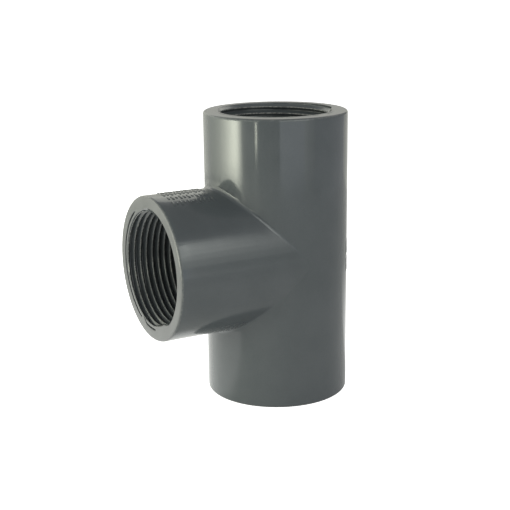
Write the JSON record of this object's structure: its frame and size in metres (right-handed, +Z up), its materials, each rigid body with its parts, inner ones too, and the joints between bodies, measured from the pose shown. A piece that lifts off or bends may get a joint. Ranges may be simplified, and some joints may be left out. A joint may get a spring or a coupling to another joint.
{
  "type": "pvc tee fitting",
  "caption": "Right-angled tee in rigid grey PVC with plain round arms, flat ends and female pipe threads, joining a side branch to a straight pipe run.",
  "frame": {"origin": "middle of the bottom of the bounding box; the fitting stands on the lower end face of its run, whose axis is vertical at x = 11.8 mm, y = 0, and the branch axis crosses it at z = 50 mm", "axes": "+Z up along the run, -X along the branch towards its open end, +Y level and square to both arms"},
  "size_m": [0.0744, 0.05, 0.1],
  "materials": {
    "grey_pvc": "glossy as-moulded"
  },
  "bodies": {
    "root": {"tee_body": "grey_pvc"}
  },
  "joints": []
}
